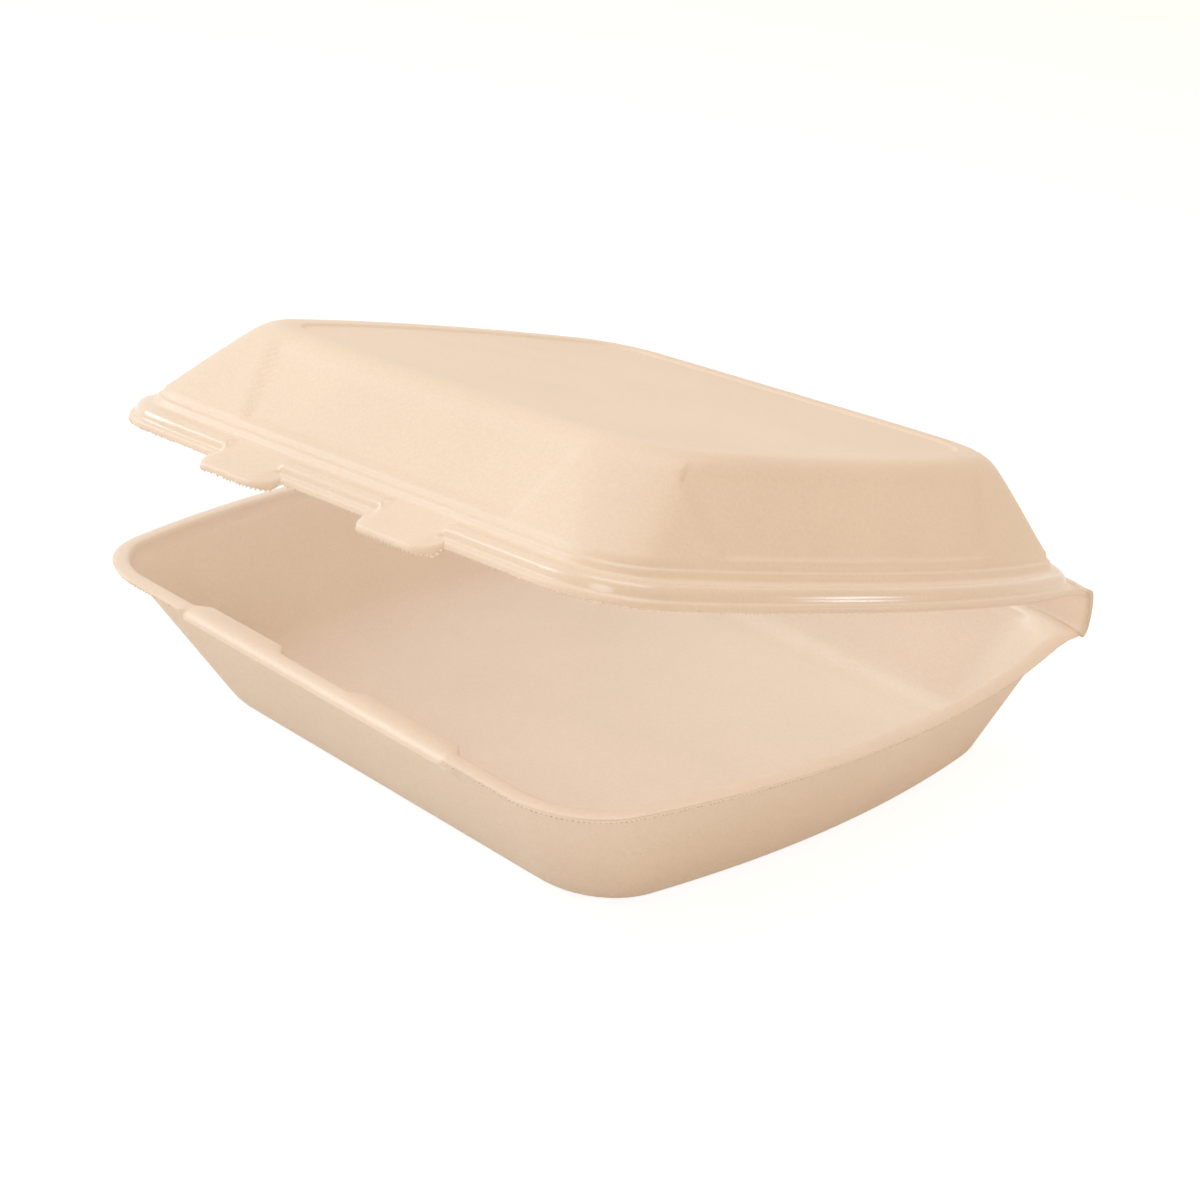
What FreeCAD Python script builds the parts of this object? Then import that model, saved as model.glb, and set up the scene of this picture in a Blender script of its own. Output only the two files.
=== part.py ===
import FreeCAD, Part
import math
import os
import re

import Sketcher
from FreeCAD import Placement, Rotation, Vector

# A hinged food container formed from one sheet of foam: a deep tray, a lid of the same outline,
# and the soft strip between them that folds as the lid moves.
# Millimetres. The origin is the middle of the rims' outline, on the table. +X runs along the hinge
# to the right, -Y is the front, where the lid has its two tabs, and +Z is up.

os.makedirs("parts", exist_ok=True)
doc = FreeCAD.newDocument("FoamContainer")

# Driving sizes
SIZES = [
    # the formed sheet, and the thinner strip at the fold
    ("sheet", 2.6), ("strip_sheet", 1.6),
    # the outline that both rims share: straight front and rear, bowed sides, round corners
    ("half_width", 120.0), ("half_depth", 118.0), ("corner", 28.5), ("side_bow", 400.0),
    # the tray
    ("tray_tall", 47.2), ("lip_out", 3.0), ("lip_tall", 4.0), ("lip_round", 1.4),
    ("floor_half_width", 93.0), ("floor_front", 81.5), ("floor_rear", 108.0), ("floor_corner", 24.5),
    ("floor_bow", 480.0), ("floor_round", 5.0),
    # the front of the tray's rim: a flare and a rolled edge between the corners, and two lands
    # that widen the rim inwards under the lid's tabs
    ("flare_half_length", 54.0), ("flare_tall", 14.0), ("roll_over", 3.4),
    ("land_out", 33.0), ("land_half_length", 17.0), ("land_deep", 3.4), ("land_tall", 5.0),
    # the lid, which lies on the tray with a small clearance when it is shut: its heights start at
    # the cut edge of its skirt
    ("seat_gap", 0.3), ("lid_tall", 35.2), ("skirt_wall", 2.2), ("bead_up", 8.0),
    ("bead_round", 4.2), ("flange_wide", 9.0), ("flange_up", 10.0), ("top_half_width", 92.2),
    ("top_front", 85.4), ("top_rear", 88.0), ("top_corner", 27.0), ("top_bow", 381.0),
    ("top_round", 5.0), ("panel_in", 10.0), ("panel_deep", 0.8),
    # the lid's tabs, and the plain ramps above them where the bead stops
    ("tab_out", 33.0), ("tab_wide", 31.0), ("tab_reach", 7.2), ("tab_droop", 2.3),
    ("tab_round", 6.5), ("ramp_wide", 23.0), ("ramp_in", 1.0), ("ramp_up", 3.2),
    # the fold behind the rims, and how far the lid stands open and tilted
    ("fold_back", 2.0), ("fold_up", 1.0), ("fold_in", 3.0), ("strip_in", 14.0), ("strip_gap", 0.3),
    ("strip_bulge_left", 5.0), ("strip_bulge_right", 3.6), ("lid_open", 10.4), ("lid_tilt", 4.0),
    # the plates that square off the rims' rear corners, where the sheet runs into the fold
    ("plate_out", 14.6), ("plate_flare", 3.0), ("plate_wide", 38.0), ("plate_long", 26.0),
    ("plate_corner", 5.0),
    # how far a cut reaches past what it cuts
    ("cut_over", 1.0),
]
sheet = doc.addObject("Spreadsheet::Sheet", "Sizes")
for row, (name, number) in enumerate(SIZES, start=1):
    sheet.set("A%d" % row, name)
    sheet.set("B%d" % row, str(number))
    sheet.setAlias("B%d" % row, name)
doc.recompute()

ORIGIN, CENTRE, START, END = -1, 3, 1, 2
X_AXIS, Y_AXIS = -1, -2


def formula(text):
    """A sum of sizes with each size's name written as its cell of the sheet."""
    return re.sub(r"[a-z][a-z_]*", r"<<Sizes>>.\g<0>", text)


def value(text):
    """The number that a sum of sizes comes to."""
    return float(sheet.evalExpression(formula(text)))


# Sketches

def new_body(label):
    body = doc.addObject("PartDesign::Body", label)
    body.Label = label
    return body


def new_sketch(body, name, along="0", role="XY_Plane"):
    """A sketch on one of the body's own planes, moved along the plane's normal by a sum of sizes."""
    sketch = body.newObject("Sketcher::SketchObject", name)
    plane = next(f for f in body.Origin.OriginFeatures if f.Role == role)
    sketch.AttachmentSupport = [(plane, "")]
    sketch.MapMode = "FlatFace"
    sketch.setExpression("AttachmentOffset.Base.z", formula(along))
    return sketch


def hold(sketch, kind, *points, text):
    """Adds a dimension to the sketch and binds it to a sum of sizes."""
    index = sketch.addConstraint(Sketcher.Constraint(kind, *points, value(text)))
    sketch.setExpression("Constraints[%d]" % index, formula(text))


def hold_point(sketch, line, x, y):
    """Holds the start of a line at two sums of sizes from the sketch's origin."""
    for kind, text in (("DistanceX", x), ("DistanceY", y)):
        if value(text) < 0:
            hold(sketch, kind, line, START, ORIGIN, START, text="-(%s)" % text)
        else:
            hold(sketch, kind, ORIGIN, START, line, START, text=text)


def add_polygon(sketch, corners):
    """A closed polygon whose corners are pairs of sums of sizes."""
    at = [Vector(value(x), value(y), 0) for x, y in corners]
    lines = [sketch.addGeometry(Part.LineSegment(a, b), False) for a, b in zip(at, at[1:] + at[:1])]
    for line, following in zip(lines, lines[1:] + lines[:1]):
        sketch.addConstraint(Sketcher.Constraint("Coincident", line, END, following, START))
    for line, (x, y) in zip(lines, corners):
        hold_point(sketch, line, x, y)


def add_outline(sketch, shape):
    """The rounded outline of a rim, a floor or a top: straight front and rear, sides that bow
    outwards, and four round corners. shape gives its sizes as sums."""
    wide, front, rear = (value(shape[k]) for k in ("wide", "front", "rear"))
    corner, bow = value(shape["corner"]), value(shape["bow"])
    middle = (rear - front) / 2
    bow_x = wide - bow

    def corner_centre(y):
        return Vector(bow_x + math.sqrt((bow - corner) ** 2 - (y - middle) ** 2), y, 0)

    low, high = corner_centre(corner - front), corner_centre(rear - corner)
    low_angle = math.atan2(low.y - middle, low.x - bow_x)
    high_angle = math.atan2(high.y - middle, high.x - bow_x)

    def arc(x, y, radius, start, end):
        return Part.ArcOfCircle(Part.Circle(Vector(x, y, 0), Vector(0, 0, 1), radius), start, end)

    half_turn, quarter = math.pi, math.pi / 2
    pieces = [
        Part.LineSegment(Vector(-low.x, -front, 0), Vector(low.x, -front, 0)),
        arc(low.x, low.y, corner, -quarter, low_angle),
        arc(bow_x, middle, bow, low_angle, high_angle),
        arc(high.x, high.y, corner, high_angle, quarter),
        Part.LineSegment(Vector(high.x, rear, 0), Vector(-high.x, rear, 0)),
        arc(-high.x, high.y, corner, quarter, half_turn - high_angle),
        arc(-bow_x, middle, bow, half_turn - high_angle, half_turn - low_angle),
        arc(-low.x, low.y, corner, half_turn - low_angle, half_turn + quarter),
    ]
    at = [sketch.addGeometry(piece, False) for piece in pieces]
    for piece, following in zip(at, at[1:] + at[:1]):
        sketch.addConstraint(Sketcher.Constraint("Tangent", piece, END, following, START))
    front_line, right, rear_line, left = at[0], at[2], at[4], at[6]
    sketch.addConstraint(Sketcher.Constraint("Horizontal", front_line))
    sketch.addConstraint(Sketcher.Constraint("Horizontal", rear_line))
    for other in (at[3], at[5], at[7]):
        sketch.addConstraint(Sketcher.Constraint("Equal", at[1], other))
    sketch.addConstraint(Sketcher.Constraint("Equal", right, left))
    sketch.addConstraint(Sketcher.Constraint("Symmetric", right, CENTRE, left, CENTRE, Y_AXIS))
    hold(sketch, "Radius", at[1], text=shape["corner"])
    hold(sketch, "Radius", right, text=shape["bow"])
    hold(sketch, "DistanceX", right, CENTRE, ORIGIN, START, text="(%(bow)s) - (%(wide)s)" % shape)
    hold(sketch, "DistanceY", front_line, START, ORIGIN, START, text=shape["front"])
    hold(sketch, "DistanceY", ORIGIN, START, rear_line, START, text=shape["rear"])
    if middle > 0:
        hold(sketch, "DistanceY", ORIGIN, START, right, CENTRE,
             text="((%(rear)s) - (%(front)s)) / 2" % shape)
    else:
        sketch.addConstraint(Sketcher.Constraint("PointOnObject", right, CENTRE, X_AXIS))


def outline_sketch(body, name, height, *shapes):
    sketch = new_sketch(body, name, height)
    for shape in shapes:
        add_outline(sketch, shape)
    return sketch


def inset(shape, by):
    """An outline moved inwards all round by a sum of sizes."""
    return {key: "(%s) - (%s)" % (text, by) for key, text in shape.items()}


def between(low, high, share):
    """An outline part of the way from a low one to a high one."""
    return {key: "(%s) + ((%s) - (%s)) * (%s)" % (low[key], high[key], low[key], share)
            for key in low}


# Features

def loft(body, name, low, *higher, kind="AdditiveLoft"):
    """A solid, or a hollow, with straight walls from each section to the next."""
    feature = body.newObject("PartDesign::" + kind, name)
    feature.Profile = low
    feature.Sections = list(higher)
    feature.Ruled = True
    doc.recompute()
    return feature


def extrude(body, name, sketch, length, kind="Pad", both_ways=False, reverse=False):
    feature = body.newObject("PartDesign::" + kind, name)
    feature.Profile = sketch
    feature.setExpression("Length", formula(length))
    feature.Midplane = both_ways
    feature.Reversed = reverse
    doc.recompute()
    return feature


def fillet(body, name, base, edges, radius):
    feature = body.newObject("PartDesign::Fillet", name)
    feature.Base = (base, edges)
    feature.setExpression("Radius", formula(radius))
    doc.recompute()
    return feature


def level_face_edges(feature, height, facing):
    """The edges of the widest level face at a height that faces up (1) or down (-1)."""
    faces = [f for f in feature.Shape.Faces
             if isinstance(f.Surface, Part.Plane) and abs(f.CenterOfMass.z - value(height)) < 0.01
             and f.normalAt(0, 0).z * facing > 0.9]
    widest = max(faces, key=lambda f: f.BoundBox.XLength * f.BoundBox.YLength)
    return ["Edge%d" % (i + 1) for i, edge in enumerate(feature.Shape.Edges)
            if any(edge.isSame(side) for side in widest.Edges)]


# Outlines
RIM = {"wide": "half_width", "front": "half_depth", "rear": "half_depth",
       "corner": "corner", "bow": "side_bow"}
FLOOR = {"wide": "floor_half_width", "front": "floor_front", "rear": "floor_rear",
         "corner": "floor_corner", "bow": "floor_bow"}
TOP = {"wide": "top_half_width", "front": "top_front", "rear": "top_rear",
       "corner": "top_corner", "bow": "top_bow"}
MOUTH = inset(RIM, "lip_out")

# The left end of the fold, where the lid stays on the tray
FOLD = ("-(half_width - fold_in)", "half_depth + fold_back", "tray_tall + fold_up")


def add_plates(body, low, thick):
    """Squares off both rear corners of a rim with plates of the sheet, from a height up. The
    hollow that follows cuts away what reaches inside."""
    plates = new_sketch(body, "PlateOutlines", low)
    for side in ("-1", "1"):
        add_polygon(plates, [
            (side + " * (half_width - plate_wide)", "half_depth - plate_long"),
            (side + " * (half_width - plate_out + plate_flare)", "half_depth - plate_long"),
            (side + " * (half_width - plate_out)", "half_depth - plate_corner"),
            (side + " * (half_width - plate_out - plate_corner)", "half_depth"),
            (side + " * (half_width - plate_wide)", "half_depth"),
        ])
    extrude(body, "Plates", plates, thick)


def make_tray():
    """The deep tray: sloping walls, a rim with a turned-down lip and square rear corners, and a
    front edge that rolls over between the corners, with two lands under the tabs."""
    body = new_body("base_tray")
    loft(body, "Walls", outline_sketch(body, "FloorOutline", "0", FLOOR),
         outline_sketch(body, "MouthOutline", "tray_tall", MOUTH))
    lip = extrude(body, "Lip", outline_sketch(body, "LipOutline", "tray_tall - lip_tall", RIM),
                  "lip_tall")
    rounded = fillet(body, "LipRound", lip, level_face_edges(lip, "tray_tall", 1), "lip_round")
    fillet(body, "FloorRound", rounded, level_face_edges(rounded, "0", -1), "floor_round")

    flare = new_sketch(body, "FlareProfile", role="YZ_Plane")
    wall_in = "(half_depth - lip_out - floor_front) / tray_tall * flare_tall"
    add_polygon(flare, [
        ("-half_depth", "tray_tall - lip_tall"),
        ("-(half_depth - lip_out - %s)" % wall_in, "tray_tall - flare_tall"),
        ("-(half_depth - lip_out - %s)" % wall_in, "tray_tall - flare_tall + sheet"),
        ("-(half_depth - lip_out)", "tray_tall - lip_tall / 2"),
        ("-half_depth", "tray_tall - lip_tall / 2"),
    ])
    extrude(body, "Flare", flare, "2 * flare_half_length", both_ways=True)

    roll = new_sketch(body, "RollOverProfile", role="YZ_Plane")
    add_polygon(roll, [
        ("-(half_depth + cut_over)", "tray_tall - roll_over - cut_over"),
        ("-(half_depth - roll_over - cut_over)", "tray_tall + cut_over"),
        ("-(half_depth + cut_over)", "tray_tall + cut_over"),
    ])
    extrude(body, "RollOver", roll, "2 * flare_half_length", "Pocket", both_ways=True)
    add_plates(body, "tray_tall - sheet", "sheet")

    inner_floor = inset(between(FLOOR, MOUTH, "sheet / tray_tall"), "sheet")
    hollow = loft(body, "Hollow", outline_sketch(body, "InnerFloorOutline", "sheet", inner_floor),
                  outline_sketch(body, "InnerMouthOutline", "tray_tall", inset(MOUTH, "sheet")),
                  kind="SubtractiveLoft")
    fillet(body, "InnerFloorRound", hollow, level_face_edges(hollow, "sheet", 1), "floor_round")

    lands = new_sketch(body, "LandOutlines", "tray_tall - land_tall")
    for side in ("-1", "1"):
        outer, inner = "half_depth - lip_out - sheet / 2", "half_depth - lip_out - sheet - land_deep"
        add_polygon(lands, [
            ("%s * land_out - land_half_length - land_deep" % side, "-(%s)" % outer),
            ("%s * land_out + land_half_length + land_deep" % side, "-(%s)" % outer),
            ("%s * land_out + land_half_length" % side, "-(%s)" % inner),
            ("%s * land_out - land_half_length" % side, "-(%s)" % inner),
        ])
    extrude(body, "Lands", lands, "land_tall")
    return body


def make_lid():
    """The lid, drawn shut: a skirt and a rolled bead round its flange, sloping walls up to a flat
    top with a shallow panel, and two tabs at the front under plain ramps where the bead stops."""
    body = new_body("lid")
    flange_foot = inset(RIM, "flange_wide")

    def level(up):
        return "tray_tall + seat_gap + " + up

    def section(name, shape, up):
        return outline_sketch(body, name, level(up), shape)

    flange = extrude(body, "Flange", section("FlangeOutline", RIM, "0"), "bead_up")
    fillet(body, "BeadRound", flange, level_face_edges(flange, level("bead_up"), 1), "bead_round")
    dome = loft(body, "Dome", section("FlangeTopOutline", inset(RIM, "bead_round"), "bead_up"),
                section("WallFoot", flange_foot, "flange_up"), section("TopOutline", TOP, "lid_tall"))
    fillet(body, "TopRound", dome, level_face_edges(dome, level("lid_tall"), 1), "top_round")
    extrude(body, "Panel", section("PanelOutline", inset(TOP, "panel_in"), "lid_tall"),
            "panel_deep", "Pocket")
    add_plates(body, level("0"), "skirt_wall")

    skirt = inset(RIM, "skirt_wall")
    inner_top = inset(between(TOP, flange_foot, "sheet / (lid_tall - flange_up)"), "sheet")
    loft(body, "Hollow", section("SkirtInside", skirt, "0"),
         section("SkirtTopInside", skirt, "bead_up - bead_round"),
         section("BeadInside", inset(RIM, "bead_round + skirt_wall / 2"), "bead_up - skirt_wall"),
         section("InnerWallFoot", inset(flange_foot, "skirt_wall / 2"), "flange_up - skirt_wall"),
         section("InnerTopOutline", inner_top, "lid_tall - sheet"), kind="SubtractiveLoft")
    extrude(body, "UnderPanel", section("UnderPanelOutline", inset(TOP, "panel_in"),
                                        "lid_tall - sheet"), "panel_deep", reverse=True)
    for side, label in (("-1", "Left"), ("1", "Right")):
        make_tab(body, side + " * tab_out", label, level)
    return body


def make_tab(body, middle, label, level):
    """One tab in the middle of a plain ramp, which runs down from the flange in the bead's place."""
    ramp_low = ("-(half_depth - ramp_in)", level("ramp_up"))
    ramp_high = ("-(half_depth - flange_wide)", level("flange_up"))
    under = new_sketch(body, label + "RampProfile", middle, "YZ_Plane")
    add_polygon(under, [
        ramp_low, ramp_high,
        ("-(half_depth - flange_wide - sheet / 2)", level("flange_up - sheet")),
        ("-(half_depth - ramp_in - sheet)", level("ramp_up - sheet / 2")),
        ("-(half_depth - skirt_wall)", level("0")), ("-half_depth", level("0")),
        ("-half_depth", level("ramp_up")),
    ])
    extrude(body, label + "Ramp", under, "ramp_wide", both_ways=True)
    over = new_sketch(body, label + "BeadGapProfile", middle, "YZ_Plane")
    add_polygon(over, [
        ramp_low, ramp_high, ("-(half_depth + cut_over)", level("flange_up")),
        ("-(half_depth + cut_over)", level("ramp_up")),
    ])
    extrude(body, label + "BeadGap", over, "ramp_wide", "Pocket", both_ways=True)

    profile = new_sketch(body, label + "TabProfile", middle, "YZ_Plane")
    tip = "-(half_depth + tab_reach)"
    add_polygon(profile, [
        ramp_low, (tip, level("skirt_wall - tab_droop")), (tip, level("-tab_droop")),
        ("-(half_depth - skirt_wall)", level("0")),
    ])
    tab = extrude(body, label + "Tab", profile, "tab_wide", both_ways=True)
    ends = ["Edge%d" % (i + 1) for i, edge in enumerate(tab.Shape.Edges)
            if edge.BoundBox.YMax < value(tip) + 0.01 and edge.BoundBox.XLength < 0.01
            and abs(edge.CenterOfMass.x - value(middle)) < value("tab_wide")]
    fillet(body, label + "TabRound", tab, ends, "tab_round")


def stand_open(body):
    """Turns the shut lid open about the fold, then tilts it up on the right about the fold's left
    end, as the soft strip lets it."""
    fold = "create(<<vector>>; %s; %s; %s)" % FOLD
    turns = [("0; 1; 0", "-lid_tilt"), ("1; 0; 0", "-lid_open")]
    steps = ["create(<<placement>>; create(<<vector>>; 0; 0; 0); create(<<rotation>>; "
             "create(<<vector>>; %s); %s); %s)" % (axis, angle, fold) for axis, angle in turns]
    text = " * ".join(steps)
    names = sorted((n for n, number in SIZES), key=len, reverse=True)
    body.setExpression("Placement", re.sub(r"\b(%s)\b" % "|".join(names), r"<<Sizes>>.\g<0>", text))
    doc.recompute()


def strip_section(x, foot, head, bulge):
    """One end of the folded strip: a bowed band between its foot and its head, at x."""
    middle = (foot + head) / 2
    along = (head - foot).normalize()
    out = Vector(0, along.z, -along.y)
    crown = middle + out * bulge
    half_chord = (head - foot).Length / 2
    radius = (half_chord ** 2 + bulge ** 2) / (2 * bulge)
    centre = crown - out * radius
    share = 1 - value("strip_sheet") / radius
    outer = [Vector(x, p.y, p.z) for p in (foot, crown, head)]
    inner = [Vector(x, 0, 0) + (p - centre) * share + Vector(0, centre.y, centre.z)
             for p in (head, crown, foot)]
    edges = [Part.Arc(*outer).toShape(), Part.makeLine(outer[2], inner[0]),
             Part.Arc(*inner).toShape(), Part.makeLine(inner[2], outer[0])]
    return Part.Wire(edges)


def make_strip(lid):
    """The soft strip behind the rims: folded shut at its left end and pulled open at its right."""
    sections = []
    for side, bulge in ((-1, "strip_bulge_left"), (1, "strip_bulge_right")):
        x = side * value("half_width - strip_in")
        y = value("half_depth + strip_gap + strip_sheet")
        foot = Vector(0, y, value("tray_tall - lip_tall / 2"))
        head = lid.Placement.multVec(Vector(x, y, value("tray_tall + seat_gap + ramp_up / 2")))
        sections.append(strip_section(x, foot, Vector(0, head.y, head.z), value(bulge)))
    strip = doc.addObject("Part::Feature", "hinge_strip")
    strip.Label = "hinge_strip"
    strip.Shape = Part.makeLoft(sections, True, True)
    strip.Placement = Placement(Vector(0, 0, 0), Rotation())
    return strip


tray = make_tray()
lid = make_lid()
stand_open(lid)
strip = make_strip(lid)
doc.recompute()

for feature in doc.Objects:
    if "Invalid" in feature.State or "Error" in feature.State:
        raise SystemExit("%s failed: %s" % (feature.Label, feature.State))
for part in (tray, lid, strip):
    if part.Shape.isNull() or not part.Shape.isValid() or len(part.Shape.Solids) != 1:
        raise SystemExit("%s is not one sound solid" % part.Label)
for part in (tray, lid, strip):
    part.Shape.exportStep("parts/%s.step" % part.Label)
    box = part.Shape.optimalBoundingBox(False, False)
    print(part.Label, "volume %.0f mm3" % part.Shape.Volume,
          "x %.1f..%.1f y %.1f..%.1f z %.1f..%.1f" % (box.XMin, box.XMax, box.YMin, box.YMax,
                                                      box.ZMin, box.ZMax))
fold = [value(text) for text in FOLD]
print("fold", [round(v, 2) for v in fold], "axis", lid.Placement.Rotation.multVec(Vector(1, 0, 0)))
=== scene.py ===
# %% [markdown]
# This lesson dresses a hinged foam food container. The imported model gives the sizes, the place
# of each part and how the lid moves.

# %% Load the frame
import math

import bpy
import numpy as np
from mathutils import Matrix, Vector


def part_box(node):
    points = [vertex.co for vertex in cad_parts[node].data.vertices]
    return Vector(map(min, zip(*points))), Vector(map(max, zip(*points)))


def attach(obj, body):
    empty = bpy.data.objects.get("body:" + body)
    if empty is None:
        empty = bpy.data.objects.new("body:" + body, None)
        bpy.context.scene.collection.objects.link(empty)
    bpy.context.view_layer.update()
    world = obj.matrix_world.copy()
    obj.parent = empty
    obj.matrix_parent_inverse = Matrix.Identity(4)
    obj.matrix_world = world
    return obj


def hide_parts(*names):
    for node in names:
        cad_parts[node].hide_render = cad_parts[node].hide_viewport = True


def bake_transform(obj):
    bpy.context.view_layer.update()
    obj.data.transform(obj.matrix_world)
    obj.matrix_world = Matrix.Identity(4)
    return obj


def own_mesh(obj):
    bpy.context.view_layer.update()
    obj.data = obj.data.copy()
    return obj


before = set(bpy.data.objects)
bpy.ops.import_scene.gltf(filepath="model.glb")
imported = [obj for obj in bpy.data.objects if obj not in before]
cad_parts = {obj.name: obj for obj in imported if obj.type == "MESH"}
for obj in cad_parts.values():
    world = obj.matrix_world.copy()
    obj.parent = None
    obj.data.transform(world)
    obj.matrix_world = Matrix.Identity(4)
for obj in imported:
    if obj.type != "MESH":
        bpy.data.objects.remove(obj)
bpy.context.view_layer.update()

MM = 0.001

# %% [markdown]
# Foam containers are pressed from a warm sheet, so every wall is the same soft-edged outline drawn
# at another size and height. The outline has a straight front and rear, sides that bow outwards
# and four round corners. We could draw it once and scale it, but scaling would squash the corner
# arcs, so a small function works out the true arcs of any size of outline. Each outline is cut
# into the same stations, so that two of them can be joined by faces, or mixed.

# %% The outline that all the walls share
RIM = {"wide": 120.0, "front": 118.0, "rear": 118.0, "corner": 28.5, "bow": 400.0}
FLOOR = {"wide": 93.0, "front": 81.5, "rear": 108.0, "corner": 24.5, "bow": 480.0}
TOP = {"wide": 92.2, "front": 85.4, "rear": 88.0, "corner": 27.0, "bow": 381.0}
STATIONS = (330, 26, 150, 44, 70, 44, 110, 26)     # front, corner, right side, and so on round


def inset(shape, by):
    return {key: number - by for key, number in shape.items()}


def outline(shape):
    """Points and outward normals round an outline, the same number on each of its eight pieces."""
    corner, bow = shape["corner"], shape["bow"]
    middle, bow_x = (shape["rear"] - shape["front"]) / 2, shape["wide"] - bow

    def corner_x(y):
        return bow_x + math.sqrt((bow - corner) ** 2 - (y - middle) ** 2)

    low_y, high_y = corner - shape["front"], shape["rear"] - corner
    low_x, high_x = corner_x(low_y), corner_x(high_y)
    low = math.atan2(low_y - middle, low_x - bow_x)
    high = math.atan2(high_y - middle, high_x - bow_x)
    quarter = math.pi / 2
    arcs = [None, (low_x, low_y, corner, -quarter, low), (bow_x, middle, bow, low, high),
            (high_x, high_y, corner, high, quarter), None,
            (-high_x, high_y, corner, quarter, math.pi - high),
            (-bow_x, middle, bow, math.pi - high, math.pi - low),
            (-low_x, low_y, corner, math.pi - low, math.pi + quarter)]
    lines = {0: (-low_x, low_x, -shape["front"], -1.0), 4: (high_x, -high_x, shape["rear"], 1.0)}
    points, normals = [], []
    for piece, count in enumerate(STATIONS):
        share = np.arange(count) / count
        if piece in lines:
            start, end, y, facing = lines[piece]
            points.append(np.stack([start + (end - start) * share, np.full(count, y)], 1))
            normals.append(np.tile([0.0, facing], (count, 1)))
        else:
            x, y, radius, start, end = arcs[piece]
            angle = start + (end - start) * share
            normals.append(np.stack([np.cos(angle), np.sin(angle)], 1))
            points.append(np.array([x, y]) + radius * normals[-1])
    return np.concatenate(points), np.concatenate(normals)


rim_points, rim_normals = outline(RIM)
COUNT = len(rim_points)
print("stations", COUNT, "round the rim", round(np.linalg.norm(np.diff(rim_points, axis=0), axis=1).sum()))

# %% [markdown]
# A ring is one line of points round the container. It lies part of the way between a low and a
# high outline, moved in or out along the outline's normals, at some height. Any of these can
# change from station to station, which is how the rim loses its lip along the front, or how the
# bead stops above a tab. The mesh is made straight from the rings: quads between neighbours and a
# fan at each end. A modifier stack could bend a flat sheet, but could not hold such exact steps.

# %% Rings and shells
def rings_between(low, high):
    (low_points, low_normals), (high_points, high_normals) = outline(low), outline(high)

    def ring(share, inwards, height):
        share = np.broadcast_to(share, COUNT)[:, None]
        normal = low_normals * (1 - share) + high_normals * share
        normal /= np.linalg.norm(normal, axis=1)[:, None]
        flat = low_points * (1 - share) + high_points * share
        flat = flat - normal * np.broadcast_to(inwards, COUNT)[:, None]
        return np.column_stack([flat, np.broadcast_to(height, COUNT)])

    return ring


def drawn_in(ring, scale, middle_y):
    """A flat ring made smaller about the middle of its outline, to fill a floor or a top."""
    return ring * [scale, scale, 1.0] + [0.0, middle_y * (1 - scale), 0.0]


def smooth_step(value, start, end):
    t = np.clip((np.asarray(value, float) - start) / (end - start), 0, 1)
    return t * t * (3 - 2 * t)


def new_object(name, points, faces, material):
    """A smooth mesh object from points in millimetres."""
    mesh = bpy.data.meshes.new(name)
    mesh.from_pydata((np.asarray(points) * MM).tolist(), [], faces)
    mesh.polygons.foreach_set("use_smooth", [True] * len(mesh.polygons))
    mesh.update()
    obj = bpy.data.objects.new(name, mesh)
    bpy.context.scene.collection.objects.link(obj)
    mesh.materials.append(material)
    return obj


def shell_faces(ring_count, start, end):
    """Quads between rings, and fans to the points start and end that close the shell."""
    following = np.roll(np.arange(COUNT), -1)
    here = np.arange(COUNT)
    faces = []
    for i in range(ring_count - 1):
        low, high = i * COUNT, (i + 1) * COUNT
        faces += np.stack([low + here, low + following, high + following, high + here], 1).tolist()
    last = (ring_count - 1) * COUNT
    faces += np.stack([np.full(COUNT, start), following, here], 1).tolist()
    faces += np.stack([np.full(COUNT, end), last + here, last + following], 1).tolist()
    return faces


def shell(name, rings, material, gloss):
    """A closed shell through the rings, with each ring's gloss kept as an attribute."""
    rings = [np.asarray(r, float) for r in rings]
    start, end = rings[0].mean(0), rings[-1].mean(0)
    points = np.concatenate(rings + [start[None], end[None]])
    total = len(rings) * COUNT
    obj = new_object(name, points, shell_faces(len(rings), total, total + 1), material)
    ends = [[gloss[0].min(), gloss[-1].min()]]
    shine = np.concatenate([np.broadcast_to(g, COUNT) for g in gloss] + ends)
    attribute = obj.data.attributes.new("gloss", "FLOAT", "POINT")
    attribute.data.foreach_set("value", shine.astype(np.float32))
    print(name, "rings", len(rings), "faces", len(obj.data.polygons))
    return obj


# %% [markdown]
# Behind, both rims have square corners, because there the sheet runs on into the fold. The walls
# keep their round corners, so a flat plate of foam is left between. We work out how far each
# station of a rear corner has to move to reach the square outline, and let the outer rings of a
# rim move that far, and the inner ones less and less.

# %% Square rear corners
PLATE_TURN = ((105.4, 113.0), (104.9, 115.6), (103.0, 117.4), (100.4, 118.0))    # its small round
PLATE_DROOP = 1.6                                   # how far the plates' tips bend down


def corner_shift():
    shift = np.zeros((COUNT, 2))
    begin = sum(STATIONS[:3])
    for first, mirror in ((begin, 1), (begin + STATIONS[3] + STATIONS[4], -1)):
        here = np.arange(first, first + STATIONS[3])
        last = rim_points[(first + STATIONS[3]) % COUNT] * [mirror, 1]
        entry = rim_points[first] * [mirror, 1]
        path = [entry, *PLATE_TURN, last] if mirror == 1 else [entry, *reversed(PLATE_TURN), last]
        path = np.array(path)
        along = np.concatenate([[0], np.cumsum(np.linalg.norm(np.diff(path, axis=0), axis=1))])
        reached = np.linspace(0, along[-1], STATIONS[3], endpoint=False)
        target = np.column_stack([np.interp(reached, along, path[:, k]) for k in (0, 1)])
        shift[here] = target * [mirror, 1] - rim_points[here]
    return shift


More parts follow.
